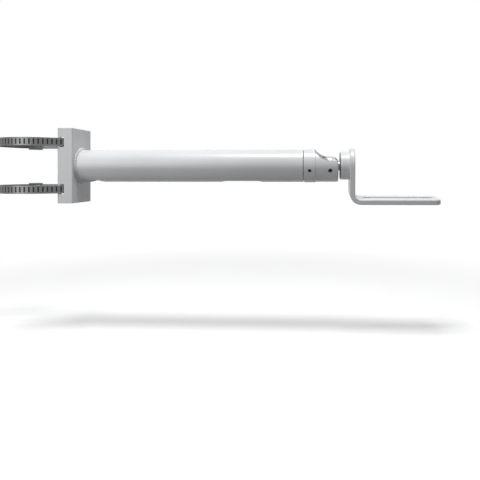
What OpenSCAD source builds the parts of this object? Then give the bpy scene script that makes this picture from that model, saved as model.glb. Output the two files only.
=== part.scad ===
// Camera pole mount bracket: a folded channel strapped to a pole, a welded arm tube,
// a notched ball socket that turns on the arm's end, and a bent, slotted camera plate.
// Frame: the pole's axis is Z, the arm points along +X, and the arm's axis is at Z = 0.

/* [Pole and arm] */
// Outside diameter of the pole
pole_d = 106; // [100:1:140]
// Outside diameter of the arm tube
tube_d = 48; // [46:0.5:52]
// Wall of the arm tube
tube_wall = 3; // [2:0.5:4]
// Length of the arm tube in front of the bracket
arm_len = 335.5; // [220:0.5:500]

/* [Pole bracket] */
// Width of the channel
bracket_w = 62; // [58:1:80]
// Height of the channel
bracket_h = 110; // [100:1:140]
// Depth of the side walls, from the pole to the front face
bracket_depth = 21.8; // [19:0.1:30]
// Plate thickness of the channel
bracket_t = 5; // [4:0.5:6]
// Outside radius of the channel's two folds
fold_r = 6.5; // [6.5:0.5:10]
// Leg of the weld round the tube's root
weld_leg = 3; // [2:0.5:4]

/* [Cable openings in the tube] */
// Diameter of the round opening under the root
cable_hole_d = 22; // [16:1:26]
// Distance of the round opening from the bracket's face
cable_hole_at = 25; // [20:1:60]
// Width of the long slot under the arm
cable_slot_w = 16; // [10:1:20]
// Length of the long slot
cable_slot_len = 63; // [30:1:80]
// Distance of the slot's middle from the arm's end
cable_slot_at = 92; // [70:1:110]

/* [Band clamps] */
// Width of the strap
strap_w = 12; // [9:0.5:14]
// Thickness of the strap
strap_t = 0.7; // [0.5:0.1:1]
// Height of each strap above and below the arm's axis
strap_z = 34.5; // [32:0.5:42]
// Direction of the worm housing round the pole, from the arm
housing_angle = 122; // [105:1:150]
// Length of the worm housing along the strap
housing_len = 20; // [18:1:26]
// Radius of the worm over its thread
worm_r = 4.5; // [3.5:0.5:5]
// Width across the flats of the worm's head
worm_head_af = 8; // [7:0.5:10]

/* [Socket neck] */
// Diameter of the neck's collar
collar_d = 49; // [48:0.5:54]
// Length of the collar
collar_len = 17.2; // [15:0.1:24]
// Diameter of the socket in front of the collar
neck_d = 47.5; // [46:0.5:50]
// Length of the socket
neck_len = 33; // [30:0.5:40]
// Gap between the tube's end and the collar
seam = 0.8; // [0.3:0.1:1.5]
// Height of the notch's flat above the ball's centre
notch_h = 10.6; // [10:0.1:12]
// Radius of the notch's curved end
notch_r = 26; // [22:1:30]
// Turn of the neck about the arm, as photographed
neck_roll = 9; // [-30:1:30]
// Diameter of the turned spigot inside the collar
spigot_d = 40; // [36:0.5:41]
// Length of the spigot inside the tube
spigot_in = 20; // [12:1:30]

/* [Ball stud] */
// Diameter of the ball
ball_d = 28; // [26:0.5:29]
// Distance of the ball's centre behind the socket's mouth
ball_back = 11.8; // [11:0.1:13]
// Diameter of the shank between ball and boss
shank_d = 14; // [12:0.5:15]
// Gap between the socket's mouth and the boss
mouth_gap = 2.2; // [2:0.1:4]

/* [Camera plate] */
// Diameter of the boss
boss_d = 41; // [36:0.5:44]
// Thickness of the boss
boss_t = 14.3; // [10:0.1:18]
// Width of the plate, and diameter of its round top
plate_w = 52; // [46:1:60]
// Thickness of the plate
plate_t = 7.5; // [6:0.5:9]
// Depth of the plate's underside below the arm's axis
plate_drop = 54.8; // [50:0.1:80]
// Length of the plate's foot in front of the boss
plate_len = 131; // [90:1:180]
// Inside radius of the plate's bend
bend_r = 8.5; // [5:0.5:12]
// Width of the camera slot
plate_slot_w = 9; // [6:0.5:14]
// Metal left between the slot and the plate's end
slot_land = 8; // [7:0.5:14]
// Radius along the plate's edges
plate_edge_r = 1.5; // [0.5:0.1:2.5]
// Radius of the foot's two outer corners
foot_corner_r = 10; // [4:0.5:20]
// Turn of the plate about the stud, as photographed
plate_roll = 5; // [-30:1:30]

/* [Screws] */
// Diameter of the collar's grub screws
collar_screw_d = 5; // [4:1:6]
// Diameter of the grub screws that lock the ball
ball_screw_d = 6; // [5:1:8]
// Angle of the grub screws below the neck's sides
screw_angle = 9; // [0:1:20]

/* [Hidden] */

// Clearances that the fits use
run_gap = 0.05;
slide_gap = 0.3;

// Overlap of a cut past the faces that it opens, and of one that ends in a face
cut = 1;
skin = 0.001;

// Places along the arm
pole_r = pole_d / 2;
ball_r = ball_d / 2;
inner_half = bracket_w / 2 - bracket_t;
contact_x = sqrt(pole_r * pole_r - inner_half * inner_half);
face_x = contact_x + bracket_depth;
tube_r = tube_d / 2;
bore_r = tube_r - tube_wall;
tube_end_x = face_x + arm_len;
collar_x = tube_end_x + seam;
step_x = collar_x + collar_len;
mouth_x = step_x + neck_len;
ball_x = mouth_x - ball_back;
boss_x = mouth_x + max(mouth_gap, ball_r - ball_back);
plate_x = boss_x + boss_t;
plate_end_x = plate_x + plate_len;
foot_z = -plate_drop;

// Radii and lengths of the socket
socket_r = ball_r + 2 * run_gap;
spigot_r = spigot_d / 2;
spigot_wall = 4;
spigot_front_x = step_x - 1.5;
collar_screw_x = collar_x + collar_len / 2;
groove_depth = 1.8;
groove_w = collar_screw_d + 2 * slide_gap;
end_bevel = 0.5;
step_bevel = 0.4;
mouth_rim = 2;
mouth_round = 5.5;
shank_room = 1.2;
seat_len = 10;
seat_lip = 2.3;
seat_key_d = 8;

// How far the grub screws lie below the surface, and their sockets as shares of their diameter
collar_screw_sunk = 1.2;
ball_screw_sunk = 0.6;
key_depth = 0.55;
key_width = 0.58;

// The screw that holds the plate on the stud, and the stud's end that the boss sits on
fix_d = 6;
fix_head_d = 12;
fix_head_h = 3.2;
fix_len = 9;
fix_key_d = 4.6;
fix_key_depth = 2.4;
fix_head_sunk = 0.2;
sink_depth = 3.5;
stud_end_d = 12;
stud_end_x = plate_x - slide_gap;
boss_rim = 2.5;
slot_inset = 3;

// Openings in the channel's side walls that the straps pass through
strap_hole_w = 6;
strap_hole_h = strap_w + 3;
strap_hole_round = 1;
strap_hole_front = 1.1;

// The strap's path: round the pole, straight to the bracket's openings and across inside
strap_mid_r = pole_r + strap_t / 2;
cross_x = pole_r + 1 + strap_t / 2;
corner_y = bracket_w / 2 - bracket_t / 2;
corner_dist = sqrt(cross_x * cross_x + corner_y * corner_y);
leave_angle = atan2(corner_y, cross_x) + acos(strap_mid_r / corner_dist);
straight_len = sqrt(corner_dist * corner_dist - strap_mid_r * strap_mid_r);
strap_shave = 0.02;
strap_lap = 0.3;
knuckle_r = 0.7 * strap_t;
tail_lift = strap_t + slide_gap;
tail_from = -8;
tail_to = 34;
worm_axis_r = pole_r + strap_t + tail_lift + slide_gap + worm_r;

// The worm's housing: side walls that clasp the strap, and an arch over the worm
housing_skin = 1.4;
housing_w = strap_w + 4;
housing_base_r = pole_r + 0.4;
housing_roof_r = pole_r + strap_t + tail_lift + 0.1;
housing_side_h = 3;
strap_side_gap = 0.2;
worm_end_wall = 2;
worm_play = 0.2;
worm_neck_r = 3;
worm_head_len = 7;
worm_head_gap = 0.4;
driver_slot = [1.6, 2];

// Turns the Z axis of its children onto the arm's axis
module along_arm() { rotate([0, 90, 0]) children(); }

// Turned part about the arm's axis, from a profile of [radius, position along the arm]
module turned(profile) { along_arm() rotate_extrude() polygon(profile); }

module on_neck() { rotate([neck_roll, 0, 0]) children(); }

module on_plate() { rotate([plate_roll, 0, 0]) children(); }

// Square whose right-hand corners are rounded
module half_rounded(length, width, r) {
    translate([0, -width / 2]) square([length - r, width]);
    translate([0, -width / 2 + r]) square([length, width - 2 * r]);
    for (side = [-1, 1]) translate([length - r, side * (width / 2 - r)]) circle(r);
}

// Rectangle with rounded corners, centred
module rounded_box(length, width, r) {
    square([length - 2 * r, width], center = true);
    square([length, width - 2 * r], center = true);
    for (x = [-1, 1], y = [-1, 1]) translate([x * (length / 2 - r), y * (width / 2 - r)]) circle(r);
}

// Profile of a turned end: radius along X, rounded at its far rim
module rim_profile(radius, length, rim) {
    square([radius, length - rim]);
    square([radius - rim, length]);
    translate([radius - rim, length - rim]) circle(rim);
}

// Stadium along X, centred
module stadium(length, width) {
    square([length - width, width], center = true);
    for (side = [-1, 1]) translate([side * (length - width) / 2, 0]) circle(width / 2);
}

module pole_bracket() {
    color("gainsboro") difference() {
        linear_extrude(bracket_h, center = true) difference() {
            translate([contact_x, 0]) half_rounded(bracket_depth, bracket_w, fold_r);
            translate([contact_x - cut, 0])
                half_rounded(bracket_depth - bracket_t + cut, 2 * inner_half, fold_r - bracket_t);
        }
        for (side = [-1, 1]) translate([cross_x + strap_hole_front - strap_hole_w / 2, 0, side * strap_z])
            rotate([90, 0, 0]) linear_extrude(2 * bracket_w, center = true)
                rounded_box(strap_hole_w, strap_hole_h, strap_hole_round);
    }
}

// Round bead in the corner between the tube and the bracket's face
module weld_bead() {
    color("gainsboro") translate([face_x, 0, 0]) along_arm() rotate_extrude()
        translate([tube_r, 0]) intersection() {
            circle(weld_leg);
            square(weld_leg + cut);
        }
}

module arm_tube() {
    color("whitesmoke") difference() {
        turned([[bore_r, face_x], [tube_r, face_x], [tube_r, tube_end_x - end_bevel],
                [tube_r - end_bevel, tube_end_x], [bore_r, tube_end_x]]);
        translate([face_x + cable_hole_at, 0, -tube_d]) cylinder(d = cable_hole_d, h = tube_d);
        translate([tube_end_x - cable_slot_at, 0, -tube_d])
            linear_extrude(tube_d) stadium(cable_slot_len, cable_slot_w);
    }
}

// Grub screw hole across the neck, along local +Y, on both sides
module both_sides() {
    for (side = [0, 1]) mirror([0, side, 0]) rotate([-screw_angle, 0, 0]) children();
}

module grub_screw(diameter, inner, outer) {
    rotate([-90, 0, 0]) difference() {
        translate([0, 0, inner]) cylinder(d = diameter, h = outer - inner);
        translate([0, 0, outer - key_depth * diameter])
            cylinder(d = key_width * diameter, h = diameter, $fn = 6);
    }
}

// Turned insert: its rear is fixed in the tube and the neck turns on its front
module tube_spigot() {
    tube_fit_r = bore_r - run_gap;
    groove_r = spigot_r - groove_depth;
    color("silver") turned([
        [bore_r - spigot_wall, tube_end_x - spigot_in], [tube_fit_r, tube_end_x - spigot_in],
        [tube_fit_r, tube_end_x], [spigot_r, tube_end_x],
        [spigot_r, collar_screw_x - groove_w / 2], [groove_r, collar_screw_x - groove_w / 2],
        [groove_r, collar_screw_x + groove_w / 2], [spigot_r, collar_screw_x + groove_w / 2],
        [spigot_r, spigot_front_x], [bore_r - spigot_wall, spigot_front_x]]);
}

// What is left above the notch's flat, with its round end towards the arm
module notch_cut() {
    wide = 2 * collar_d;
    translate([ball_x, -wide / 2, notch_h]) cube([wide, wide, wide]);
    translate([ball_x, 0, notch_h + notch_r]) rotate([90, 0, 0])
        cylinder(r = notch_r, h = wide, center = true);
}

// Rounds the flat's front edge so that the boss can swing over it
module mouth_rounding() {
    wide = 2 * collar_d;
    translate([mouth_x - mouth_round, 0, notch_h - mouth_round]) rotate([90, 0, 0])
        linear_extrude(wide, center = true) difference() {
            square(mouth_round + cut);
            circle(mouth_round);
        }
}

module socket_cavity() {
    slot_w = shank_d + shank_room;
    translate([collar_x - cut, 0, 0]) along_arm()
        cylinder(r = spigot_r + run_gap, h = step_x - 1 - collar_x + cut);
    translate([collar_x, 0, 0]) along_arm() cylinder(r = socket_r, h = ball_x - collar_x);
    translate([ball_x, 0, 0]) sphere(socket_r);
    translate([ball_x, 0, 0]) along_arm() cylinder(d = slot_w + 2 * slide_gap, h = ball_r + cut);
    translate([ball_x, 0, 0]) cylinder(d = slot_w, h = ball_d);
    translate([ball_x, -slot_w / 2, 0]) cube([ball_d, slot_w, ball_d]);
}

module swivel_neck() {
    front_x = step_x + step_bevel;
    color("whitesmoke") on_neck() difference() {
        union() {
            turned([[0, collar_x], [collar_d / 2 - end_bevel, collar_x], [collar_d / 2, collar_x + end_bevel],
                    [collar_d / 2, step_x - step_bevel], [neck_d / 2, front_x], [0, front_x]]);
            translate([front_x, 0, 0]) along_arm() rotate_extrude()
                rim_profile(neck_d / 2, mouth_x - front_x, mouth_rim);
        }
        socket_cavity();
        notch_cut();
        mouth_rounding();
        both_sides() {
            translate([collar_screw_x, 0, 0]) rotate([-90, 0, 0])
                cylinder(d = collar_screw_d + 2 * run_gap, h = collar_d);
            translate([ball_x, 0, 0]) rotate([-90, 0, 0])
                cylinder(d = ball_screw_d + 2 * run_gap, h = collar_d);
        }
    }
}

module collar_screws() {
    color("dimgray") on_neck() both_sides() translate([collar_screw_x, 0, 0])
        grub_screw(collar_screw_d, spigot_r - groove_depth + slide_gap, collar_d / 2 - collar_screw_sunk);
}

module ball_screws() {
    color("dimgray") on_neck() both_sides() translate([ball_x, 0, 0])
        grub_screw(ball_screw_d, ball_r + 3 * run_gap, neck_d / 2 - ball_screw_sunk);
}

// Threaded cup behind the ball
module ball_seat() {
    back_x = ball_x - ball_r + seat_lip - seat_len;
    color("silver") on_neck() difference() {
        translate([back_x, 0, 0]) along_arm() cylinder(r = socket_r - run_gap, h = seat_len);
        translate([ball_x, 0, 0]) sphere(socket_r);
        translate([back_x - cut, 0, 0]) along_arm() cylinder(d = seat_key_d, h = ball_r, $fn = 6);
    }
}

module ball_stud() {
    color("silver") on_plate() difference() {
        union() {
            translate([ball_x, 0, 0]) sphere(ball_r);
            translate([ball_x, 0, 0]) along_arm() cylinder(d = shank_d, h = boss_x - ball_x - run_gap);
            translate([ball_x, 0, 0]) along_arm() cylinder(d = stud_end_d, h = stud_end_x - ball_x);
        }
        translate([stud_end_x - fix_len - cut, 0, 0]) along_arm()
            cylinder(d = fix_d + 2 * run_gap, h = fix_len + 2 * cut);
    }
}

module plate_boss() {
    color("whitesmoke") on_plate() difference() {
        translate([plate_x, 0, 0]) mirror([1, 0, 0]) along_arm() rotate_extrude()
            rim_profile(boss_d / 2, boss_t, boss_rim);
        translate([boss_x - cut, 0, 0]) along_arm()
            cylinder(d = stud_end_d + 2 * run_gap, h = boss_t + 2 * cut);
    }
}

// One bar with rounded edges: a round top, the upright, the bend and the foot
module plate_bar() {
    mid_x = plate_x + plate_t / 2;
    mid_z = foot_z + plate_t / 2;
    bend_x = plate_x + plate_t + bend_r;
    bend_z = foot_z + plate_t + bend_r;
    corner_x = plate_end_x - foot_corner_r;
    corner_y = plate_w / 2 - foot_corner_r;
    translate([mid_x, 0, 0]) along_arm() rotate(90) rotate_extrude(angle = 180)
        half_rounded(plate_w / 2, plate_t, plate_edge_r);
    translate([mid_x, 0, bend_z]) linear_extrude(-bend_z) rounded_box(plate_t, plate_w, plate_edge_r);
    translate([bend_x, 0, bend_z]) rotate([90, 0, 0]) rotate(180) rotate_extrude(angle = 90)
        translate([bend_r + plate_t / 2, 0]) rounded_box(plate_t, plate_w, plate_edge_r);
    translate([bend_x, 0, mid_z]) along_arm() linear_extrude(corner_x - bend_x)
        rounded_box(plate_t, plate_w, plate_edge_r);
    translate([corner_x, 0, mid_z]) rotate([90, 0, 0]) linear_extrude(2 * corner_y, center = true)
        half_rounded(foot_corner_r, plate_t, plate_edge_r);
    for (side = [-1, 1]) translate([corner_x, side * corner_y, mid_z]) rotate(side > 0 ? 0 : -90)
        rotate_extrude(angle = 90) half_rounded(foot_corner_r, plate_t, plate_edge_r);
}

module camera_plate() {
    slot_from = plate_x + plate_t + bend_r + slot_inset;
    slot_len = plate_end_x - slot_land - slot_from;
    color("whitesmoke") on_plate() difference() {
        plate_bar();
        translate([slot_from + slot_len / 2, 0, foot_z - cut])
            linear_extrude(plate_t + 2 * cut) stadium(slot_len, plate_slot_w);
        translate([plate_x - cut, 0, 0]) along_arm()
            cylinder(d = fix_d + 2 * run_gap, h = plate_t + 2 * cut);
        translate([plate_x + plate_t - sink_depth, 0, 0]) along_arm()
            cylinder(d1 = fix_d + 2 * run_gap, d2 = fix_head_d + 2 * run_gap, h = sink_depth + skin);
    }
}

// Countersunk screw through the plate into the stud
module plate_screw() {
    front_x = plate_x + plate_t - fix_head_sunk;
    back_x = stud_end_x - fix_len;
    color("silver") on_plate() difference() {
        turned([[0, back_x], [fix_d / 2, back_x], [fix_d / 2, front_x - fix_head_h],
                [fix_head_d / 2 - slide_gap, front_x], [0, front_x]]);
        translate([front_x - fix_key_depth, 0, 0]) along_arm()
            cylinder(d = fix_key_d, h = fix_key_depth + cut, $fn = 6);
    }
}

// One strap: its plan is a closed band with a tail that lies outside it
module strap() {
    linear_extrude(strap_w, center = true) {
        difference() {
            circle(pole_r + strap_t);
            circle(pole_r);
            for (side = [-1, 1]) rotate(side * leave_angle) translate([0, side > 0 ? -3 * pole_r : 0])
                square(3 * pole_r);
        }
        for (side = [-1, 1]) {
            rotate(side * leave_angle)
                translate([pole_r + strap_shave, side > 0 ? -straight_len : -strap_lap])
                    square([strap_t - 2 * strap_shave, straight_len + strap_lap]);
            translate([cross_x, side * corner_y]) circle(knuckle_r);
        }
        translate([cross_x - strap_t / 2, -corner_y]) square([strap_t, 2 * corner_y]);
        rotate(housing_angle) strap_tail();
    }
}

// The free end runs through the housing and ends beyond it
module strap_tail() {
    root = 1.5;
    difference() {
        translate([tail_lift, 0]) difference() {
            circle(pole_r + strap_t);
            circle(pole_r);
        }
        rotate(tail_from) translate([-2 * pole_r, -4 * pole_r]) square(4 * pole_r);
        rotate(tail_to) translate([-2 * pole_r, 0]) square(4 * pole_r);
    }
    rotate(tail_from) translate([pole_r + strap_t / 2, -0.4 * root]) square([tail_lift, root]);
}

// Section of the housing across the strap: X is outwards from the pole
module housing_section() {
    shoulder_r = housing_base_r + housing_side_h;
    arch_r = worm_r + housing_skin;
    spring = 0.85 * arch_r;
    polygon([[housing_base_r, -housing_w / 2], [shoulder_r, -housing_w / 2], [worm_axis_r, -spring],
             [worm_axis_r, spring], [shoulder_r, housing_w / 2], [housing_base_r, housing_w / 2]]);
    translate([worm_axis_r, 0]) circle(arch_r);
}

// Arched housing over the strap, with the worm's bore along the strap
module housing() {
    window = 1.4 * worm_r;
    rotate(housing_angle) difference() {
        rotate([90, 0, 0]) linear_extrude(housing_len, center = true) housing_section();
        translate([housing_base_r - cut, -housing_len, -strap_w / 2 - strap_side_gap])
            cube([housing_roof_r - housing_base_r + cut, 2 * housing_len, strap_w + 2 * strap_side_gap]);
        translate([worm_axis_r, -housing_len, 0]) rotate([-90, 0, 0])
            cylinder(r = worm_r + run_gap, h = 1.5 * housing_len - worm_end_wall);
        translate([worm_axis_r, 0, 0]) rotate([-90, 0, 0])
            cylinder(r = worm_neck_r + run_gap, h = housing_len);
        translate([housing_base_r, -housing_len / 2 + worm_end_wall, -window / 2])
            cube([worm_axis_r - housing_base_r, housing_len - 2 * worm_end_wall, window]);
    }
}

module worm() {
    back = -housing_len / 2;
    head = housing_len / 2 + worm_head_gap;
    rotate(housing_angle) translate([worm_axis_r, 0, 0]) rotate([-90, 0, 0]) difference() {
        union() {
            translate([0, 0, back]) cylinder(r = worm_r, h = housing_len - worm_end_wall - worm_play);
            cylinder(r = worm_neck_r, h = head + cut);
            translate([0, 0, head]) cylinder(d = worm_head_af / cos(30), h = worm_head_len, $fn = 6);
        }
        translate([-worm_head_af, -driver_slot[0] / 2, head + worm_head_len - driver_slot[1]])
            cube([2 * worm_head_af, driver_slot[0], driver_slot[1] + cut]);
    }
}

module upper_strap() { color("darkgray") translate([0, 0, strap_z]) strap(); }

module lower_strap() { color("darkgray") translate([0, 0, -strap_z]) strap(); }

module upper_housing() { color("darkgray") translate([0, 0, strap_z]) housing(); }

module lower_housing() { color("darkgray") translate([0, 0, -strap_z]) housing(); }

module upper_worm() { color("gray") translate([0, 0, strap_z]) worm(); }

module lower_worm() { color("gray") translate([0, 0, -strap_z]) worm(); }

pole_bracket();
weld_bead();
arm_tube();
tube_spigot();
swivel_neck();
collar_screws();
ball_screws();
ball_seat();
ball_stud();
plate_boss();
camera_plate();
plate_screw();
upper_strap();
lower_strap();
upper_housing();
lower_housing();
upper_worm();
lower_worm();
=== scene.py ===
"""Finishes for a camera's pole mount: painted steelwork, grooved bands, threaded worms,
rippled weld and the stage."""

import math

import bmesh
import bpy
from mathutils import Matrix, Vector


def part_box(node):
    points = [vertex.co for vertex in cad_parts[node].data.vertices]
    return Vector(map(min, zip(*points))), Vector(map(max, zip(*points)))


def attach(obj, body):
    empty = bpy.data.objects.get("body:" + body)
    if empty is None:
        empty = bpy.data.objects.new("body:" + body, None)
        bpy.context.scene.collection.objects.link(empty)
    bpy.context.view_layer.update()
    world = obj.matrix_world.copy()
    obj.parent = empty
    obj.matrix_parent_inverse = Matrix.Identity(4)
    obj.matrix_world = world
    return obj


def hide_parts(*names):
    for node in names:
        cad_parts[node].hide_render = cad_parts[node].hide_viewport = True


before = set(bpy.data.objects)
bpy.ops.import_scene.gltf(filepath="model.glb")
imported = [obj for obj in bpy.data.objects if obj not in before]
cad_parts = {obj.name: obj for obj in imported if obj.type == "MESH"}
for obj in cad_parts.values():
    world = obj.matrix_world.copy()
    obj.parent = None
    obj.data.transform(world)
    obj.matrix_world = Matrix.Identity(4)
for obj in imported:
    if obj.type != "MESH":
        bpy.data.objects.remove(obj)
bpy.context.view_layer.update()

bl_info = {
    "name": "Camera pole mount finishes",
    "version": (1, 0, 0),
    "blender": (4, 5, 0),
    "location": "View3D > Sidebar > Pole mount",
    "description": "Dresses the packed pole mount with paint, bands, threads, weld and a studio stage",
    "category": "Object",
}

MM = 0.001
TUBE_LOW, TUBE_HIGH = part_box("arm_tube")
BAND_LOW, BAND_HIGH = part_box("upper_strap")
JOIN_DISTANCE = 0.02 * MM
SAME_POINT = 0.001 * MM


# Sizes and colours


def length_property(name, description, low, high, default):
    return bpy.props.FloatProperty(name=name, description=description, subtype="DISTANCE", unit="LENGTH",
                                   min=low, max=high, default=default)


def angle_property(name, description, low, high, degrees):
    return bpy.props.FloatProperty(name=name, description=description, subtype="ANGLE", unit="ROTATION",
                                   min=low, max=high, default=math.radians(degrees))


def colour_property(name, description, default):
    return bpy.props.FloatVectorProperty(name=name, description=description, subtype="COLOR",
                                         size=3, min=0, max=1, default=default)


class SteelworkLook(bpy.types.PropertyGroup):
    """Paint of the channel, the tube, the neck, the boss and the plate, with painted shade on the neck and
    the boss
    """

    arm_colour: colour_property(
        "Arm paint", "Powder coat of the tube, neck, boss and plate",
        (0.735, 0.745, 0.755))
    bracket_colour: colour_property(
        "Bracket paint", "Powder coat of the channel and its weld",
        (0.66, 0.67, 0.68))
    roughness: bpy.props.FloatProperty(
        name="Roughness", description="How matt the powder coat is",
        subtype="FACTOR", min=0.05, max=1, default=0.36)
    peel_size: length_property("Peel size", "Width of one dimple of the orange peel", 0.0003, 0.01, 0.0016)
    peel_depth: length_property("Peel depth", "Depth of the orange peel", 0, 0.001, 0.00005)
    # The dark colour and the rim width below are painted shade, laid in the ball's socket, on the notch's
    # curved wall and on the boss's rear rim; the socket and notch sizes place it.
    painted_shade_colour: colour_property(
        "Bare steel", "Oiled dark steel in the socket, in the notch and on the boss's rim",
        (0.065, 0.065, 0.067))
    painted_shade_rim: length_property("Bare rim", "Width of the bare rim behind the boss", 0, 0.004, 1.5 * MM)
    socket_centre: length_property(
        "Socket centre", "Distance of the ball's centre from the pole's axis",
        0.2, 0.7, 442.684 * MM)
    socket_radius: length_property("Socket radius", "Radius of the ball's socket", 0.01, 0.02, 14.1 * MM)
    notch_height: length_property(
        "Notch height", "Height of the notch's flat above the ball's centre",
        0.008, 0.014, 10.6 * MM)
    notch_radius: length_property("Notch radius", "Radius of the notch's curved wall", 0.02, 0.03, 26 * MM)
    notch_roll: angle_property("Notch roll", "Turn of the notch about the arm's axis", -math.pi, math.pi, 9)


class HardwareLook(bpy.types.PropertyGroup):
    """Bare and plated metal of the ball, the spigot, the screws and the bands"""

    turned_colour: colour_property("Turned steel", "Zinc plated turned parts", (0.45, 0.45, 0.445))
    screw_colour: colour_property("Screws", "Blackened grub screws", (0.035, 0.036, 0.04))
    band_colour: colour_property("Bands", "Rolled stainless steel", (0.15, 0.152, 0.155))
    spigot_colour: colour_property(
        "Spigot", "Phosphated and greased steel of the spigot behind the seam",
        (0.06, 0.06, 0.062))
    worm_colour: colour_property("Clamp screws", "Zinc plated worms", (0.3, 0.3, 0.292))


class ChannelShape(bpy.types.PropertyGroup):
    """Folded channel that stands between the pole and the tube"""

    thickness: length_property("Thickness", "Thickness of the folded plate", 0.003, 0.007, 5 * MM)
    fold: length_property("Fold", "Outside radius of the folds", 0.0005, 0.006, 1.6 * MM)
    inner_fold: length_property("Inner fold", "Inside radius of the folds", 0.0005, 0.006, 2.5 * MM)
    edge: length_property("Edge", "Bevel of the sawn edges", 0.0001, 0.001, 0.5 * MM)
    opening_place: length_property(
        "Opening place", "Distance of the openings' middle from the pole's axis",
        0.04, 0.06, 52.45 * MM)
    opening_width: length_property("Opening width", "Width of the band's openings", 0.003, 0.008, 6 * MM)
    opening_height: length_property("Opening height", "Height of the band's openings", 0.01, 0.02, 15 * MM)
    opening_round: length_property(
        "Opening corner", "Corner radius of the band's openings",
        0.0002, 0.002, 1 * MM)


class BandShape(bpy.types.PropertyGroup):
    """Grooved band that runs round the pole and through the channel"""

    pole_radius: length_property(
        "Pole radius", "Radius of the pole that the band clasps",
        0.04, 0.08, 53 * MM)
    thickness: length_property("Thickness", "Thickness of the band", 0.0004, 0.0012, 0.7 * MM)
    width: length_property("Width", "Width of the band", 0.008, 0.016, BAND_HIGH.z - BAND_LOW.z)
    pitch: length_property("Groove pitch", "Distance between two grooves", 0.003, 0.01, 6.0 * MM)
    groove_width: length_property("Groove width", "Width of a groove along the band", 0.001, 0.004, 2.3 * MM)
    groove_length: length_property(
        "Groove length", "Length of a groove across the band",
        0.004, 0.012, 8.2 * MM)
    groove_depth: length_property("Groove depth", "Depth of a groove", 0.0001, 0.0006, 0.5 * MM)
    corner_x: length_property(
        "Crossing", "Distance from the pole's axis at which the band crosses the channel",
        0.05, 0.07, 54.35 * MM)
    corner_y: length_property(
        "Corner", "Half the length of the band's crossing in the channel",
        0.02, 0.04, 28.5 * MM)
    housing_angle: angle_property(
        "Housing angle", "Direction of the worm housing round the pole",
        0, math.pi, 122)
    free_end: angle_property(
        "Free end", "How far the free end runs past the middle of the housing",
        0, math.pi / 3, 33.6)
    tail_lift: length_property(
        "Tail lift", "Height of the outer turn above the inner one in the housing",
        0, 0.003, 1.0 * MM)


class WormShape(bpy.types.PropertyGroup):
    """Thread of the clamp screws, whose pitch is that of the band's grooves"""

    radius: length_property("Radius", "Radius of the screw over its thread", 0.0035, 0.005, 4.5 * MM)
    depth: length_property("Thread depth", "Depth of the thread", 0.0003, 0.0014, 1.0 * MM)
    crest: length_property("Crest", "Width of the thread's crest along the screw", 0.0005, 0.003, 1.5 * MM)
    flank: angle_property("Flank", "Slope of the thread's flanks", 0, math.pi / 6, 15)
    axis_place: length_property(
        "Axis place", "Distance of the screw's axis from the pole's axis",
        0.05, 0.07, 59.5 * MM)
    start: length_property(
        "Thread start", "Where the cut starts along the screw, from the housing's middle",
        -0.02, 0, -13 * MM)
    turns: bpy.props.FloatProperty(
        name="Turns", description="Number of turns that are cut",
        min=1, max=3.5, default=3.5)


class WeldShape(bpy.types.PropertyGroup):
    """Ripples of the weld round the tube's root"""

    leg: length_property("Leg", "Leg of the weld", 0.001, 0.005, 2.95 * MM)
    ripple: length_property("Ripple pitch", "Distance between two ripples", 0.0005, 0.004, 2.4 * MM)
    lean: angle_property("Lean", "Lean of the ripples along the weld", 0, math.pi / 4, 16)


class StageLook(bpy.types.PropertyGroup):
    """Floor, lamps and world"""

    floor_depth: length_property("Floor depth", "Depth of the floor below the arm's axis", 0.06, 1, 0.25)
    floor_colour: colour_property("Floor", "Colour of the pale floor", (0.93, 0.93, 0.93))
    sky_level: bpy.props.FloatProperty(
        name="Sky level", description="Brightness of the surroundings that light the object",
        min=0, max=2, default=0.22)
    lamp_power: bpy.props.FloatProperty(
        name="Lamp power", description="Power of the soft lamp above the arm",
        subtype="POWER", unit="POWER", min=0, max=500, default=16.5)
    fill_power: bpy.props.FloatProperty(
        name="Fill power", description="Power of the soft lamp beside the bracket",
        subtype="POWER", unit="POWER", min=0, max=500, default=1.5)
    floor_glow: bpy.props.FloatProperty(
        name="Floor glow", description="How much the floor is brightened towards white where it is seen",
        min=0, max=1, default=0.3)


# Shader maths


class Value:
    """A socket of a shader tree whose maths is written as Python expressions."""

    def __init__(self, finish, socket):
        self.finish = finish
        self.socket = socket

    def _maths(self, operation, first, second):
        return self.finish.add("ShaderNodeMath", {"operation": operation}, {0: first, 1: second})

    def __add__(self, other):
        return self._maths("ADD", self, other)

    __radd__ = __add__

    def __sub__(self, other):
        return self._maths("SUBTRACT", self, other)

    def __rsub__(self, other):
        return self._maths("SUBTRACT", other, self)

    def __mul__(self, other):
        return self._maths("MULTIPLY", self, other)

    def limited(self, low, high):
        return self.finish.add("ShaderNodeClamp", {}, {"Value": self, "Min": low, "Max": high})

    def band(self, low, high):
        """0 below low, 1 above high, smooth between."""
        return self.finish.add("ShaderNodeMapRange", {"interpolation_type": "SMOOTHSTEP"},
                               {"Value": self, "From Min": low, "From Max": high})


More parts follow.
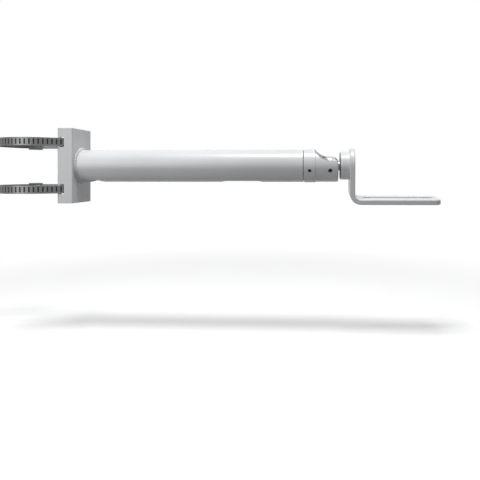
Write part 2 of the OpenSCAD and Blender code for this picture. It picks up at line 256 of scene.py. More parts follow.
class Finish:
    """A material or world under construction, around a single surface shader."""

    def __init__(self, owner, surface="ShaderNodeBsdfPrincipled", **uniform):
        self.material = bpy.data.materials.new(owner) if isinstance(owner, str) else owner
        self.material.use_nodes = True
        self.tree = self.material.node_tree
        self.tree.nodes.clear()
        kind = "World" if isinstance(owner, bpy.types.World) else "Material"
        self.output = self.tree.nodes.new(f"ShaderNodeOutput{kind}")
        self.surface = self.tree.nodes.new(surface)
        for socket, value in uniform.items():
            self.surface.inputs[socket.replace("_", " ")].default_value = value
        self.tree.links.new(self.surface.outputs[0], self.output.inputs["Surface"])

    def add(self, kind, settings, inputs, output=0):
        """Adds a node: its settings first, then the values or links of its sockets."""
        node = self.tree.nodes.new(kind)
        for name, setting in settings.items():
            setattr(node, name, setting)
        for key, value in inputs.items():
            self._feed(node.inputs[key], value)
        return Value(self, node.outputs[output])

    def _feed(self, socket, value):
        if isinstance(value, Value):
            self.tree.links.new(value.socket, socket)
        else:
            socket.default_value = value

    def feed(self, *places, **sockets):
        """Links what varies over the surface to the surface shader, by place or by name."""
        for index, value in enumerate(places):
            self._feed(self.surface.inputs[index], value)
        for name, value in sockets.items():
            self._feed(self.surface.inputs[name.replace("_", " ")], value)

    def place(self):
        return self.add("ShaderNodeTexCoord", {}, {}, "Object")

    def stretched(self, place, stretch):
        """Place scaled by a different amount along each axis."""
        return self.add("ShaderNodeVectorMath", {"operation": "MULTIPLY"}, {0: place, 1: stretch})

    def axis(self, place, name):
        return self.add("ShaderNodeSeparateXYZ", {}, {0: place}, "XYZ".index(name))

    def length_of(self, place):
        return self.add("ShaderNodeVectorMath", {"operation": "LENGTH"}, {0: place}, "Value")

    def joined(self, x, y, z):
        return self.add("ShaderNodeCombineXYZ", {}, {0: x, 1: y, 2: z})

    def noise(self, place, scale, detail=2.0, roughness=0.5):
        return self.add("ShaderNodeTexNoise", {"noise_dimensions": "3D"},
                        {"Vector": place, "Scale": scale, "Detail": detail, "Roughness": roughness})

    def cells(self, place, scale):
        return self.add("ShaderNodeTexVoronoi", {"feature": "F1"},
                        {"Vector": place, "Scale": scale}, "Distance")

    def blend(self, factor, first, second):
        """Mixes two colours."""
        node_first = (*first, 1) if isinstance(first, tuple) else first
        node_second = (*second, 1) if isinstance(second, tuple) else second
        return self.add("ShaderNodeMix", {"data_type": "RGBA", "clamp_factor": True},
                        {"Factor": factor, 6: node_first, 7: node_second}, 2)

    def shown(self):
        """1 on the rays that see the stage directly or in a reflection."""
        seen, mirrored, through = (self.add("ShaderNodeLightPath", {}, {}, f"Is {kind} Ray")
                                   for kind in ("Camera", "Glossy", "Transmission"))
        return (seen + mirrored + through).limited(0, 1)

    def bump(self, height, depth, strength=1.0, over=None):
        inputs = {"Height": height, "Distance": depth, "Strength": strength}
        if over is not None:
            inputs["Normal"] = over
        return self.add("ShaderNodeBump", {}, inputs)


def shade(colour, factor):
    return tuple(min(1.0, channel * factor) for channel in colour)


# Finishes


def socket_painted_shade(coat, place, look):
    """1 where the neck gets painted shade: in the ball's socket and on the curved wall of the notch."""
    centre, turn = look.socket_centre, look.notch_roll
    x, y, z = (coat.axis(place, name) for name in "XYZ")
    along = x - centre
    upright = z * math.cos(turn) - y * math.sin(turn)
    in_socket = coat.length_of(coat.joined(along, y, z))
    to_wall = coat.length_of(coat.joined(along, 0, upright - look.notch_height - look.notch_radius))
    socket_skin, wall_skin, feather = 0.5 * MM, 0.2 * MM, 0.1 * MM
    wall_front, front_feather = -2 * MM, 1 * MM
    socket = (look.socket_radius + socket_skin - in_socket).band(0, feather)
    wall = (look.notch_radius + wall_skin - to_wall).band(0, feather)
    wall = wall * (wall_front - along).band(0, front_feather)
    return (socket + wall).limited(0, 1)


def boss_rim_painted_shade(coat, place, look):
    """1 on the rear face and rim of the boss, where the neck's shade is painted."""
    feather = 0.6 * MM
    return (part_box("plate_boss")[0].x + look.painted_shade_rim - coat.axis(place, "X")).band(0, feather)


def powder_coat(name, colour, look, painted_shade=None):
    """Satin powder coat: orange peel, a fine grain and slow changes of tone, with painted shade where a mask
    is given.
    """
    coat = Finish(name, IOR=1.5, Specular_IOR_Level=0.5, Coat_Roughness=0.16)
    place = coat.place()
    slow = coat.noise(place, 14, 3)
    peel = coat.noise(place, 1 / look.peel_size, 2, 0.4)
    grain = coat.noise(place, 7 / look.peel_size, 1)
    rubbed = coat.noise(coat.stretched(place, (22, 70, 70)), 1, 4).band(0.55, 0.75)
    tone = coat.blend(slow.band(0.3, 0.7), shade(colour, 0.965), shade(colour, 1.02))
    tone = coat.blend(grain.band(0.62, 0.78) * 0.35, tone, shade(colour, 0.9))
    # Painted shade: the given mask lays the dark colour where shade falls.
    if painted_shade:
        tone = coat.blend(painted_shade(coat, place, look), tone, tuple(look.painted_shade_colour))
    coat.feed(
        Base_Color=tone,
        Roughness=look.roughness + (slow - 0.5) * 0.1 + (grain - 0.5) * 0.12 - rubbed * 0.05,
        Coat_Weight=0.1 + rubbed * 0.12,
        Normal=coat.bump(peel, look.peel_depth, 0.8, coat.bump(grain, look.peel_depth * 0.2, 0.6)),
    )
    return coat.material


def turned_metal(name, colour, lines=2600):
    """Plated turned steel: fine rings about the arm's axis, and slow tarnish."""
    metal = Finish(name, Metallic=1.0)
    place = metal.place()
    around = metal.length_of(metal.stretched(place, (0, 1, 1)))
    rings = metal.noise(metal.joined(metal.axis(place, "X"), around, 0), lines, 3, 0.65)
    tarnish = metal.noise(place, 90, 3)
    metal.feed(
        Base_Color=metal.blend(tarnish.band(0.35, 0.7), shade(colour, 1.12), shade(colour, 0.82)),
        Roughness=0.34 + rings * 0.16 + tarnish * 0.08,
        Normal=metal.bump(rings, 0.00002, 0.5),
    )
    return metal.material


def blackened_screw(name, colour):
    """Blackened steel with bright wear in places."""
    screw = Finish(name, Metallic=1.0)
    place = screw.place()
    wear = screw.noise(place, 1400, 3).band(0.58, 0.72)
    grain = screw.noise(place, 5200, 2)
    screw.feed(
        Base_Color=screw.blend(wear * 0.5, colour, (0.16, 0.155, 0.15)),
        Roughness=0.34 + grain * 0.22,
        Normal=screw.bump(grain, 0.00002, 0.6),
    )
    return screw.material


def phosphated(name, colour):
    """Phosphated steel: a dull grey grain with greasy patches."""
    dull = Finish(name, IOR=1.5)
    place = dull.place()
    grain = dull.noise(place, 2400, 3)
    grease = dull.noise(place, 160, 3).band(0.45, 0.6)
    tone = dull.blend(grain.band(0.35, 0.7), shade(colour, 0.75), shade(colour, 1.35))
    dull.feed(
        Base_Color=dull.blend(grease * 0.5, tone, shade(colour, 0.5)),
        Roughness=0.66 - grease * 0.3 + (grain - 0.5) * 0.15,
        Normal=dull.bump(grain, 0.00003, 0.6),
    )
    return dull.material


def rolled_steel(name, colour, grooved):
    """Rolled stainless: streaks along the band, with painted shade on the grooves' floors."""
    steel = Finish(name, Metallic=1.0)
    place = steel.place()
    streaks = steel.noise(steel.stretched(place, (40, 40, 5200)), 1, 3, 0.6)
    blotch = steel.noise(place, 120, 3)
    tone = steel.blend(streaks.band(0.3, 0.7), shade(colour, 0.84), shade(colour, 1.18))
    tone = steel.blend(blotch.band(0.5, 0.8) * 0.4, tone, shade(colour, 0.7))
    rough = 0.24 + streaks * 0.14 + blotch * 0.08
    if grooved:
        # Painted shade: the groove floors are darkened as if shade lay in the grooves, and made rougher.
        groove = steel.add("ShaderNodeAttribute", {"attribute_name": "groove"}, {}, "Fac")
        tone = steel.blend(groove * 0.9, tone, shade(colour, 0.16))
        rough = rough + groove * 0.3
    steel.feed(Base_Color=tone, Roughness=rough, Normal=steel.bump(streaks, 0.00002, 0.5))
    return steel.material


def zinc_plate(name, colour):
    """Zinc plating: small dull cells with a faint warm cast."""
    zinc = Finish(name, Metallic=1.0)
    place = zinc.place()
    spangle = zinc.cells(place, 700)
    cloud = zinc.noise(place, 260, 3)
    red, green, blue = colour
    tone = zinc.blend(cloud.band(0.3, 0.7), shade(colour, 1.15), (red, green * 0.97, blue * 0.9))
    zinc.feed(
        Base_Color=zinc.blend(spangle * 0.4, tone, shade(colour, 0.75)),
        Roughness=0.28 + cloud * 0.2,
        Normal=zinc.bump(spangle, 0.00003, 0.35),
    )
    return zinc.material


def dress(node, material):
    """Gives a CAD node its finish."""
    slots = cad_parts[node].material_slots
    if not slots:
        raise RuntimeError(f"{node} has no material slot")
    for slot in slots:
        slot.material = material


# Node trees


class Tree:
    """A Geometry Nodes tree under construction, with named inputs."""

    def __init__(self, name, **sizes):
        self.group = bpy.data.node_groups.new(name, "GeometryNodeTree")
        self.group.is_modifier = True
        self.inputs = {}
        self.group.interface.new_socket("Geometry", in_out="INPUT", socket_type="NodeSocketGeometry")
        for label, value in sizes.items():
            kind = {int: "NodeSocketInt", float: "NodeSocketFloat"}.get(type(value), "NodeSocketObject")
            socket = self.group.interface.new_socket(
                label.replace("_", " "), in_out="INPUT", socket_type=kind)
            self.inputs[socket.identifier] = value
        self.group.interface.new_socket("Geometry", in_out="OUTPUT", socket_type="NodeSocketGeometry")
        self.entry = self.group.nodes.new("NodeGroupInput")
        self.exit = self.group.nodes.new("NodeGroupOutput")

    def size(self, label):
        return self.entry.outputs[label.replace("_", " ")]

    def add(self, kind, settings, inputs, output=0):
        """Adds a node: its settings first, then the values or links of its sockets."""
        node = self.group.nodes.new(kind)
        for name, setting in settings.items():
            setattr(node, name, setting)
        for key, value in inputs.items():
            socket = node.inputs[key]
            if isinstance(value, bpy.types.NodeSocket):
                self.group.links.new(value, socket)
            else:
                socket.default_value = value
        return node.outputs[output]

    def shape(self, label):
        """The geometry of the object that is an input."""
        return self.add("GeometryNodeObjectInfo", {"transform_space": "ORIGINAL"},
                        {"Object": self.size(label)}, "Geometry")

    def close(self, geometry, material):
        """Ends the tree: real geometry with its material."""
        real = self.add("GeometryNodeRealizeInstances", {}, {"Geometry": geometry})
        dressed = self.add("GeometryNodeSetMaterial", {}, {"Geometry": real, "Material": material})
        self.group.links.new(dressed, self.exit.inputs[0])

    def run(self, start, name):
        """Runs the tree on a start mesh and returns the result as a plain mesh object."""
        carrier = new_object(name + "_start", start)
        modifier = carrier.modifiers.new("Tree", "NODES")
        modifier.node_group = self.group
        for identifier, value in self.inputs.items():
            modifier[identifier] = value
        bpy.context.view_layer.update()
        evaluated = carrier.evaluated_get(bpy.context.evaluated_depsgraph_get())
        mesh = bpy.data.meshes.new_from_object(evaluated)
        carrier.modifiers.remove(modifier)
        bpy.data.objects.remove(carrier)
        piece = new_object(name, mesh)
        if not mesh.polygons:
            raise RuntimeError(f"the tree made nothing for {name}")
        return piece


def new_object(name, mesh):
    mesh.name = name
    thing = bpy.data.objects.new(name, mesh)
    bpy.context.scene.collection.objects.link(thing)
    return thing


def mesh_of(build):
    """A mesh filled by a function that is given its bmesh."""
    form = bmesh.new()
    build(form)
    mesh = bpy.data.meshes.new("form")
    form.to_mesh(mesh)
    form.free()
    return mesh


def smooth(piece, angle=35):
    """Shades a piece smooth, apart from its sharp edges."""
    for face in piece.data.polygons:
        face.use_smooth = True
    piece.data.set_sharp_from_angle(angle=math.radians(angle))


def finish_piece(piece, body, node):
    """Gives a piece its body and hides the CAD node that it stands in for."""
    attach(piece, body)
    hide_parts(node)


# The folded channel


def rounded_outline(half_x, half_z, middle, corner, steps=3):
    """Rounded rectangle in the X, Z plane, as points going round."""
    points = []
    for quarter, (sx, sz) in enumerate(((1, 1), (-1, 1), (-1, -1), (1, -1))):
        centre = (middle + sx * (half_x - corner), sz * (half_z - corner))
        for step in range(steps + 1):
            turn = math.pi / 2 * (quarter + step / steps)
            points.append((centre[0] + corner * math.cos(turn), centre[1] + corner * math.sin(turn)))
    return points


def arc_points(centre, radius, start, stop, steps=8):
    turns = (start + (stop - start) * i / steps for i in range(steps + 1))
    return [(centre[0] + radius * math.cos(turn), centre[1] + radius * math.sin(turn)) for turn in turns]


def channel_profile(channel, low, high, inset):
    """Outline of the channel from above, drawn in by the inset on all its faces."""
    quarter, hold = math.pi / 2, 0.3 * MM
    half, front = high.y, high.x
    inner_half, inner_front = half - channel.thickness, front - channel.thickness
    outer, inner = channel.fold - inset, channel.inner_fold + inset
    outer_x, outer_y = front - channel.fold, half - channel.fold
    inner_x, inner_y = inner_front - channel.inner_fold, inner_half - channel.inner_fold
    back, side, lining = low.x + inset, half - inset, inner_half + inset
    upper = [(front - inset, outer_y - hold)]
    upper += arc_points((outer_x, outer_y), outer, 0, quarter)
    upper += [(outer_x - hold, side), (back, side), (back, lining), (inner_x - hold, lining)]
    upper += arc_points((inner_x, inner_y), inner, quarter, 0)
    upper += [(inner_front + inset, inner_y - hold)]
    return upper + [(x, -y) for x, y in reversed(upper)]


def channel_body(form, channel, low, high):
    """Channel without its openings: four outlines joined from bottom to top."""
    rings = []
    for height, inset in ((low.z, channel.edge), (low.z + channel.edge, 0),
                          (high.z - channel.edge, 0), (high.z, channel.edge)):
        rings.append([form.verts.new((x, y, height)) for x, y in channel_profile(channel, low, high, inset)])
    count = len(rings[0])
    for below, above in zip(rings, rings[1:]):
        for i in range(count):
            j = (i + 1) % count
            form.faces.new((below[i], below[j], above[j], above[i]))
    for ring in (rings[0], rings[-1]):
        outline = [form.edges.get((ring[i], ring[(i + 1) % count])) for i in range(count)]
        bmesh.ops.triangle_fill(form, edges=outline, use_beauty=True)
    bmesh.ops.recalc_face_normals(form, faces=form.faces)


def opening_cutter(form, channel, reach):
    """Rounded block that cuts one pair of openings through both side walls."""
    outline = rounded_outline(
        channel.opening_width / 2, channel.opening_height / 2, 0, channel.opening_round, 5)
    near = [form.verts.new((x, -reach, z)) for x, z in outline]
    far = [form.verts.new((x, reach, z)) for x, z in outline]
    for i in range(len(outline)):
        j = (i + 1) % len(outline)
        form.faces.new((near[i], near[j], far[j], far[i]))
    form.faces.new(near)
    form.faces.new(far)
    bmesh.ops.recalc_face_normals(form, faces=form.faces)


def channel_tree(channel, cutter, band_height, material):
    """Cuts the band's openings, one pair for each band."""
    tree = Tree("Channel openings", Cutter=cutter, Bands=2, Place=channel.opening_place, Height=band_height)
    lowest = tree.add("ShaderNodeMath", {"operation": "MULTIPLY"}, {0: tree.size("Height"), 1: -1.0})
    gap = tree.add("ShaderNodeMath", {"operation": "MULTIPLY"}, {0: tree.size("Height"), 1: 2.0})
    start = tree.add("ShaderNodeCombineXYZ", {}, {"X": tree.size("Place"), "Z": lowest})
    offset = tree.add("ShaderNodeCombineXYZ", {}, {"Z": gap})
    spots = tree.add("GeometryNodeMeshLine", {"mode": "OFFSET"}, {
        "Count": tree.size("Bands"), "Start Location": start, "Offset": offset})
    block = tree.shape("Cutter")
    blocks = tree.add("GeometryNodeInstanceOnPoints", {}, {"Points": spots, "Instance": block})
    blocks = tree.add("GeometryNodeRealizeInstances", {}, {"Geometry": blocks})
    cut = tree.add("GeometryNodeMeshBoolean", {"operation": "DIFFERENCE", "solver": "EXACT"},
                   {"Mesh 1": tree.entry.outputs["Geometry"], "Mesh 2": blocks})
    tree.close(cut, material)
    return tree


# The grooved bands


def band_cell(form, band):
    """One pitch of the band, flat: X along it, Y outwards and Z across it."""
    groove = form.verts.layers.float.new("groove")
    outer, inner = band.thickness / 2, -band.thickness / 2
    edge = 0.2 * band.thickness
    half_z, half_x = band.width / 2, band.groove_width / 2
    middle = band.pitch / 2
    stations = (0, middle - half_x, middle, middle + half_x, band.pitch)

    def row(y, z):
        return [form.verts.new((x, y, z)) for x in stations]

    def strip(first, second):
        for a, b, c, d in zip(first, first[1:], second[1:], second):
            form.faces.new((a, b, c, d))

    top_low, top_high = row(outer, edge - half_z), row(outer, half_z - edge)
    side_low, side_high = row(outer - edge, -half_z), row(outer - edge, half_z)
    base_low, base_high = row(inner, -half_z), row(inner, half_z)
    strip(side_low, top_low)
    strip(base_low, side_low)
    strip(base_high, base_low)
    strip(side_high, base_high)
    strip(top_high, side_high)

    rim_round, floor_share, floor_inset, floor_round = 0.6, 0.62, 0.38, 0.36
    rim = rounded_outline(half_x, band.groove_length / 2, middle, rim_round * half_x)
    floor = rounded_outline(floor_share * half_x, band.groove_length / 2 - floor_inset * half_x,
                            middle, floor_round * half_x)
    rim_points = [form.verts.new((x, outer, z)) for x, z in rim]
    floor_points = [form.verts.new((x, outer - band.groove_depth, z)) for x, z in floor]
    # The groove floors are marked so that the band's material paints shade on them.
    for point in floor_points:
        point[groove] = 1
    for i, point in enumerate(rim_points):
        j = (i + 1) % len(rim_points)
        form.faces.new((point, rim_points[j], floor_points[j], floor_points[i]))
    form.faces.new(floor_points)
    around = top_low + list(reversed(top_high))
    edges = [form.edges.get((a, b)) or form.edges.new((a, b))
             for a, b in zip(around, around[1:] + around[:1])]
    edges += [form.edges.get((a, b)) for a, b in zip(rim_points, rim_points[1:] + rim_points[:1])]
    bmesh.ops.triangle_fill(form, edges=edges, use_beauty=True, normal=(0, 1, 0))
    bmesh.ops.recalc_face_normals(form, faces=form.faces)
    flat = 1e-7
    for face in form.faces:
        if all(abs(point.co.y - outer) < flat for point in face.verts) and face.normal.y < 0:
            bmesh.ops.reverse_faces(form, faces=form.faces)
            break


def band_path(band, height):
    """The band's middle line, from its fixed end in the housing to its free end."""
    mid = band.pole_radius + band.thickness / 2
    reach = math.hypot(band.corner_x, band.corner_y)
    leave = math.atan2(band.corner_y, band.corner_x) + math.acos(mid / reach)
    ramp, rise, rest = math.radians(7), 1.6, 0.4
    fixed = band.housing_angle - ramp
    knuckle = 0.9 * MM

    def on_ring(angle, lift=0.0):
        return Vector(((mid + lift) * math.cos(angle), (mid + lift) * math.sin(angle), height))

    def arc(start, stop, lift=0.0, step=math.radians(1.5)):
        count = max(2, round(abs(stop - start) / step))
        return [on_ring(start + (stop - start) * i / count, lift) for i in range(count + 1)]

    def bend(before, corner, after):
        """A small round bend in place of a corner."""
        back, on = (before - corner).normalized(), (after - corner).normalized()
        start, stop = corner + back * knuckle, corner + on * knuckle
        return [start.lerp(corner, t).lerp(corner.lerp(stop, t), t) for t in (i / 6 for i in range(7))]

    far = Vector((band.corner_x, -band.corner_y, height))
    near = Vector((band.corner_x, band.corner_y, height))
    points = arc(fixed, 2 * math.pi - leave)
    points += bend(points[-1], far, near) + bend(far, near, on_ring(leave))
    points += arc(leave, fixed - 2 * ramp)
    points += [on_ring(fixed - 2 * ramp + ramp * rise * t, band.tail_lift * (3 * t * t - 2 * t ** 3))
               for t in (i / 8 for i in range(1, 9))]
    points += arc(fixed - rest * ramp, band.housing_angle + band.free_end, band.tail_lift)[1:]
    return points


def path_object(name, points):
    curve = bpy.data.curves.new(name, "CURVE")
    curve.dimensions = "3D"
    spline = curve.splines.new("POLY")
    spline.points.add(len(points) - 1)
    for spot, point in zip(spline.points, points):
        spot.co = (*point, 1)
    carrier = bpy.data.objects.new(name, curve)
    bpy.context.scene.collection.objects.link(carrier)
    return carrier


def path_length(points):
    return sum((b - a).length for a, b in zip(points, points[1:]))


def band_tree(path, count, pitch, stretch, material):
    """Lays the cell end to end and wraps the strip along the path."""
    tree = Tree("Grooved band", Path=path, Cells=count, Pitch=pitch, Stretch=stretch)
    offset = tree.add("ShaderNodeCombineXYZ", {}, {"X": tree.size("Pitch")})
    spots = tree.add("GeometryNodeMeshLine", {"mode": "OFFSET"},
                     {"Count": tree.size("Cells"), "Offset": offset})
    cells = tree.add("GeometryNodeInstanceOnPoints", {},
                     {"Points": spots, "Instance": tree.entry.outputs["Geometry"]})
    strip = tree.add("GeometryNodeRealizeInstances", {}, {"Geometry": cells})
    strip = tree.add("GeometryNodeMergeByDistance", {}, {"Geometry": strip, "Distance": JOIN_DISTANCE})
    line = tree.shape("Path")
    place = tree.add("GeometryNodeInputPosition", {}, {})
    parts = tree.add("ShaderNodeSeparateXYZ", {}, {0: place}, 0).node
    along = tree.add("ShaderNodeMath", {"operation": "MULTIPLY"},
                     {0: parts.outputs["X"], 1: tree.size("Stretch")})
    sample = tree.add("GeometryNodeSampleCurve", {"mode": "LENGTH", "use_all_curves": True},
                      {"Curves": line, "Length": along}, "Position").node
    across = tree.add("ShaderNodeVectorMath", {"operation": "CROSS_PRODUCT"},
                      {0: sample.outputs["Tangent"], 1: (0, 0, 1)})
    outwards = tree.add("ShaderNodeVectorMath", {"operation": "SCALE"},
                        {0: across, "Scale": parts.outputs["Y"]})
    upwards = tree.add("ShaderNodeCombineXYZ", {}, {"Z": parts.outputs["Z"]})
    moved = tree.add("ShaderNodeVectorMath", {"operation": "ADD"},
                     {0: sample.outputs["Position"], 1: outwards})
    moved = tree.add("ShaderNodeVectorMath", {"operation": "ADD"}, {0: moved, 1: upwards})
    wrapped = tree.add("GeometryNodeSetPosition", {}, {"Geometry": strip, "Position": moved})
    tree.close(wrapped, material)
    return tree


def close_ends(piece):
    """Closes the band's two ends and turns all its faces outwards."""
    form = bmesh.new()
    form.from_mesh(piece.data)
    open_edges = [edge for edge in form.edges if len(edge.link_faces) == 1]
    bmesh.ops.holes_fill(form, edges=open_edges, sides=0)
    bmesh.ops.recalc_face_normals(form, faces=form.faces)
    if form.calc_volume(signed=True) < 0:
        bmesh.ops.reverse_faces(form, faces=form.faces)
    form.to_mesh(piece.data)
    form.free()


# The clamp screws' thread


def thread_cutter(form, worm, band, height):
    """Closed helical bar that fills the space between the turns of one screw's thread."""
    steps_per_turn, spare = 36, 0.5 * MM
    cos_place, sin_place = math.cos(band.housing_angle), math.sin(band.housing_angle)
    section = []
    for radius, side in ((-worm.depth, -1), (spare, -1), (spare, 1), (-worm.depth, 1)):
        half = (band.pitch - worm.crest) / 2 + radius * math.tan(worm.flank)
        section.append((worm.radius + radius, side * half))
    count = round(worm.turns * steps_per_turn)
    rings = []
    for i in range(count + 1):
        turn = 2 * math.pi * i / steps_per_turn
        ring = []
        for radius, offset in section:
            outwards = worm.axis_place + radius * math.cos(turn)
            along = worm.start + band.pitch * i / steps_per_turn + offset
            ring.append(form.verts.new((cos_place * outwards - sin_place * along,
                                        sin_place * outwards + cos_place * along,
                                        height - radius * math.sin(turn))))
        rings.append(ring)
    for before, after in zip(rings, rings[1:]):
        for i in range(4):
            j = (i + 1) % 4
            form.faces.new((before[i], before[j], after[j], after[i]))
    form.faces.new(rings[0])
    form.faces.new(rings[-1])
    bmesh.ops.recalc_face_normals(form, faces=form.faces)


def thread_tree(cutter, material):
    """Cuts the thread out of the screw."""
    tree = Tree("Screw thread", Cutter=cutter)
    blank = tree.add("GeometryNodeMergeByDistance", {},
                     {"Geometry": tree.entry.outputs["Geometry"], "Distance": SAME_POINT})
    bar = tree.shape("Cutter")
    cut = tree.add("GeometryNodeMeshBoolean", {"operation": "DIFFERENCE", "solver": "EXACT"},
                   {"Mesh 1": blank, "Mesh 2": bar})
    tree.close(cut, material)
    return tree


# The rippled weld


def weld_tree(weld, count, material):
    """Ripples on the circle where the tube meets the channel, joined into one skin."""
    overlap, least_size = 0.85, 0.94
    tree = Tree("Rippled weld", Count=count, Radius=TUBE_HIGH.z, Face=TUBE_LOW.x, Leg=weld.leg,
                Ripple=weld.ripple, Lean=weld.lean, Seed=7)
    circle = tree.add("GeometryNodeCurvePrimitiveCircle", {"mode": "RADIUS"},
                      {"Resolution": 180, "Radius": tree.size("Radius")})
    spots = tree.add("GeometryNodeCurveToPoints", {"mode": "COUNT"},
                     {"Curve": circle, "Count": tree.size("Count")}).node
    ball = tree.add("GeometryNodeMeshUVSphere", {}, {"Segments": 16, "Rings": 8, "Radius": 1.0})
    reach = tree.add("ShaderNodeMath", {"operation": "MULTIPLY"}, {0: tree.size("Ripple"), 1: overlap})
    spread = tree.add("ShaderNodeCombineXYZ", {}, {"X": tree.size("Leg"), "Y": tree.size("Leg"), "Z": reach})
    varied = tree.add("FunctionNodeRandomValue", {"data_type": "FLOAT"},
                      {2: least_size, 3: 1.0, "Seed": tree.size("Seed")}, 1)
    scale = tree.add("ShaderNodeVectorMath", {"operation": "SCALE"}, {0: spread, "Scale": varied})
    ripples = tree.add("GeometryNodeInstanceOnPoints", {}, {
        "Points": spots.outputs["Points"], "Instance": ball,
        "Rotation": spots.outputs["Rotation"], "Scale": scale})
    lean = tree.add("ShaderNodeCombineXYZ", {}, {"X": tree.size("Lean")})
    leaning = tree.add("GeometryNodeRotateInstances", {}, {"Instances": ripples, "Rotation": lean})
    move = tree.add("ShaderNodeCombineXYZ", {}, {"X": tree.size("Face")})
    ring = tree.add("GeometryNodeTransform", {},
                    {"Geometry": leaning, "Rotation": (0, math.pi / 2, 0), "Translation": move})
    ring = tree.add("GeometryNodeRealizeInstances", {}, {"Geometry": ring})
    skin = tree.add("GeometryNodeMeshBoolean", {"operation": "UNION", "solver": "EXACT"},
                    {1: ring, "Self Intersection": True})
    tree.close(skin, material)
    return tree


# Operators


class POLEMOUNT_OT_steelwork(bpy.types.Operator):
    """Paint the tube, the neck, the boss and the plate"""

    bl_idname = "polemount.steelwork"
    bl_label = "Paint steelwork"

    def execute(self, context):
        look = context.scene.steelwork_look
        arm = powder_coat("arm_powder_coat", tuple(look.arm_colour), look)
        for node in ("arm_tube", "camera_plate"):
            dress(node, arm)
        colour = tuple(look.arm_colour)
        # The neck and the boss get painted shade from their masks.
        dress("swivel_neck", powder_coat("neck_powder_coat_painted_shade", colour, look, socket_painted_shade))
        dress("plate_boss", powder_coat("boss_powder_coat_painted_shade", colour, look, boss_rim_painted_shade))
        return {"FINISHED"}


class POLEMOUNT_OT_channel(bpy.types.Operator):
    """Fold the channel and cut its openings"""

    bl_idname = "polemount.channel"
    bl_label = "Fold channel"

    def execute(self, context):
        channel, look = context.scene.channel_shape, context.scene.steelwork_look
        material = powder_coat("channel_powder_coat", tuple(look.bracket_colour), look)
        low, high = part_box("pole_bracket")
        cutter = new_object("opening_cutter", mesh_of(lambda form: opening_cutter(form, channel, 2 * high.y)))
        body = mesh_of(lambda form: channel_body(form, channel, low, high))
        tree = channel_tree(channel, cutter, (BAND_LOW.z + BAND_HIGH.z) / 2, material)
        piece = tree.run(body, "folded_channel")
        bpy.data.objects.remove(cutter)
        smooth(piece, 28)
        finish_piece(piece, "arm", "pole_bracket")
        return {"FINISHED"}


class POLEMOUNT_OT_weld(bpy.types.Operator):
    """Lay the rippled weld round the tube's root"""

    bl_idname = "polemount.weld"
    bl_label = "Lay weld"

    def execute(self, context):
        weld, look = context.scene.weld_shape, context.scene.steelwork_look
        material = powder_coat("weld_powder_coat", tuple(look.bracket_colour), look)
        count = round(2 * math.pi * TUBE_HIGH.z / weld.ripple)
        bead = weld_tree(weld, count, material).run(bpy.data.meshes.new("empty"), "weld_ripples")
        smooth(bead, 60)
        finish_piece(bead, "arm", "weld_bead")
        return {"FINISHED"}


class POLEMOUNT_OT_bands(bpy.types.Operator):
    """Wrap both grooved bands round the pole's place and through the channel"""

    bl_idname = "polemount.bands"
    bl_label = "Wrap bands"

    def execute(self, context):
        band, look = context.scene.band_shape, context.scene.hardware_look
        material = rolled_steel("grooved_band_steel", tuple(look.band_colour), True)
        for node in ("upper_strap", "lower_strap"):
            low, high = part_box(node)
            points = band_path(band, (low.z + high.z) / 2)
            length = path_length(points)
            count = round(length / band.pitch)
            stretch = length / (count * band.pitch)
            path = path_object(node + "_path", points)
            piece = band_tree(path, count, band.pitch, stretch, material).run(
                mesh_of(lambda form: band_cell(form, band)), node + "_grooved")
            bpy.data.objects.remove(path)
            close_ends(piece)
            smooth(piece, 28)
            finish_piece(piece, "arm", node)
        return {"FINISHED"}


class POLEMOUNT_OT_worms(bpy.types.Operator):
    """Cut the thread of both clamp screws and plate them"""

    bl_idname = "polemount.worms"
    bl_label = "Cut worms"

    def execute(self, context):
        scene = context.scene
        zinc = zinc_plate("worm_zinc", tuple(scene.hardware_look.worm_colour))
        for node, body in (("upper_worm", "upper_clamp_screw"), ("lower_worm", "lower_clamp_screw")):
            low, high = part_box(node)
            height = (low.z + high.z) / 2
            cutter = new_object("thread_cutter", mesh_of(
                lambda form: thread_cutter(form, scene.worm_shape, scene.band_shape, height)))
            piece = thread_tree(cutter, zinc).run(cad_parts[node].data.copy(), node + "_threaded")
            bpy.data.objects.remove(cutter)
            smooth(piece, 30)
            finish_piece(piece, body, node)
        return {"FINISHED"}


class POLEMOUNT_OT_hardware(bpy.types.Operator):
    """Plate the ball, the spigot, the screws and the housings"""

    bl_idname = "polemount.hardware"
    bl_label = "Plate hardware"

    def execute(self, context):
        look = context.scene.hardware_look
        turned = turned_metal("turned_zinc_steel", tuple(look.turned_colour))
        for node in ("ball_seat", "ball_stud", "plate_screw"):
            dress(node, turned)
        dress("tube_spigot", phosphated("greased_spigot_steel", tuple(look.spigot_colour)))
        black = blackened_screw("blackened_screw_steel", tuple(look.screw_colour))
        for node in ("collar_screws", "ball_screws"):
            dress(node, black)
        housing = rolled_steel("housing_steel", shade(tuple(look.band_colour), 1.6), False)
        for node in ("upper_housing", "lower_housing"):
            dress(node, housing)
        return {"FINISHED"}


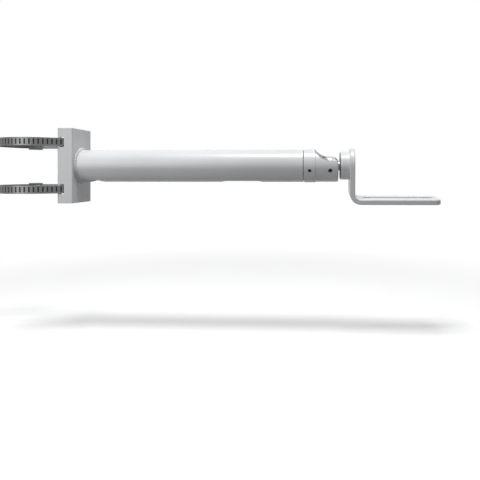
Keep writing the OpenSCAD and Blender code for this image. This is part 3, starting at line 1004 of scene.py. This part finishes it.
class POLEMOUNT_OT_stage(bpy.types.Operator):
    """Set the floor, the lamps, the world and the camera"""

    bl_idname = "polemount.stage"
    bl_label = "Set stage"

    def execute(self, context):
        look = context.scene.stage_look
        self.floor(look)
        self.world(context.scene, look)
        self.lamps(look)
        self.camera(context.scene)
        context.scene.view_settings.view_transform = "Standard"
        return {"FINISHED"}

    def floor(self, look):
        half_width, middle, fade, unseen_share = 40, 0.25, (0.42, 0.95), 0.2

        def square(form):
            corners = [form.verts.new((half_width * x, half_width * y, -look.floor_depth))
                       for x, y in ((-1, -1), (1, -1), (1, 1), (-1, 1))]
            form.faces.new(corners)

        floor = new_object("studio_floor", mesh_of(square))
        pale = Finish("pale_floor", "ShaderNodeMixShader")
        colour = tuple(look.floor_colour)
        near = pale.add("ShaderNodeBsdfDiffuse", {}, {"Color": (*colour, 1)})
        glow = pale.add("ShaderNodeEmission", {}, {"Color": (1, 1, 1, 1), "Strength": look.floor_glow})
        near = pale.add("ShaderNodeAddShader", {}, {0: near, 1: glow})
        far = pale.add("ShaderNodeEmission", {}, {"Color": (1, 1, 1, 1), "Strength": 1.0})
        place = pale.place()
        spread = pale.joined(pale.axis(place, "X") - middle, pale.axis(place, "Y"), 0)
        spread = pale.length_of(spread).band(*fade)
        seen = pale.add("ShaderNodeMixShader", {}, {0: spread, 1: near, 2: far})
        unseen = pale.add("ShaderNodeBsdfDiffuse", {}, {"Color": (*shade(colour, unseen_share), 1)})
        pale.feed(pale.shown(), unseen, seen)
        floor.data.materials.append(pale.material)

    def world(self, scene, look):
        scene.world = bpy.data.worlds.new("studio_world")
        sky = Finish(scene.world, "ShaderNodeMixShader")
        lighting = sky.add("ShaderNodeBackground", {},
                           {"Color": (0.98, 0.99, 1.0, 1), "Strength": look.sky_level})
        seen = sky.add("ShaderNodeBackground", {}, {"Color": (1, 1, 1, 1), "Strength": 1.0})
        sky.feed(sky.shown(), lighting, seen)

    def lamps(self, look):
        for name, place, aim, size, power in (
            ("overhead_softbox", (0.36, -0.32, 1.35), (0.25, 0, 0), (0.6, 0.4), look.lamp_power),
            ("bracket_fill", (-0.2, -0.6, 0.12), (0.12, 0, 0), (0.5, 0.5), look.fill_power),
        ):
            light = bpy.data.lights.new(name, "AREA")
            light.shape = "RECTANGLE"
            light.size, light.size_y = size
            light.energy = power
            lamp = bpy.data.objects.new(name, light)
            lamp.location = place
            lamp.rotation_euler = (Vector(aim) - Vector(place)).to_track_quat("-Z", "Y").to_euler()
            bpy.context.scene.collection.objects.link(lamp)

    def camera(self, scene):
        camera = bpy.data.objects.new("photo_camera", bpy.data.cameras.new("photo_camera"))
        camera.data.sensor_width = 36
        camera.data.lens = 39.6
        camera.data.shift_x = -0.119
        camera.data.shift_y = -0.1375
        camera.data.clip_start = 0.01
        camera.location = (0.42953, -0.78314, -0.01222)
        camera.rotation_euler = (math.radians(90), 0, math.radians(2.608))
        scene.collection.objects.link(camera)
        scene.camera = camera


class POLEMOUNT_PT_sidebar(bpy.types.Panel):
    """Sizes, colours and steps of the pole mount"""

    bl_label = "Pole mount"
    bl_idname = "POLEMOUNT_PT_sidebar"
    bl_space_type = "VIEW_3D"
    bl_region_type = "UI"
    bl_category = "Pole mount"

    def draw(self, context):
        for group, operator in STEPS:
            box = self.layout.box()
            settings = getattr(context.scene, group)
            for name in settings.__annotations__:
                box.prop(settings, name)
            box.operator(operator.bl_idname)


GROUPS = {
    "steelwork_look": SteelworkLook,
    "channel_shape": ChannelShape,
    "weld_shape": WeldShape,
    "band_shape": BandShape,
    "worm_shape": WormShape,
    "hardware_look": HardwareLook,
    "stage_look": StageLook,
}
STEPS = (
    ("steelwork_look", POLEMOUNT_OT_steelwork),
    ("channel_shape", POLEMOUNT_OT_channel),
    ("weld_shape", POLEMOUNT_OT_weld),
    ("band_shape", POLEMOUNT_OT_bands),
    ("worm_shape", POLEMOUNT_OT_worms),
    ("hardware_look", POLEMOUNT_OT_hardware),
    ("stage_look", POLEMOUNT_OT_stage),
)
CLASSES = tuple(GROUPS.values()) + tuple(operator for group, operator in STEPS) + (POLEMOUNT_PT_sidebar,)


def register():
    for kind in CLASSES:
        bpy.utils.register_class(kind)
    for name, kind in GROUPS.items():
        setattr(bpy.types.Scene, name, bpy.props.PointerProperty(type=kind))


def unregister():
    for name in GROUPS:
        delattr(bpy.types.Scene, name)
    for kind in reversed(CLASSES):
        bpy.utils.unregister_class(kind)


def main():
    register()
    bpy.ops.polemount.steelwork()
    bpy.ops.polemount.channel()
    bpy.ops.polemount.weld()
    bpy.ops.polemount.bands()
    bpy.ops.polemount.worms()
    bpy.ops.polemount.hardware()
    bpy.ops.polemount.stage()


if __name__ == "__main__":
    main()
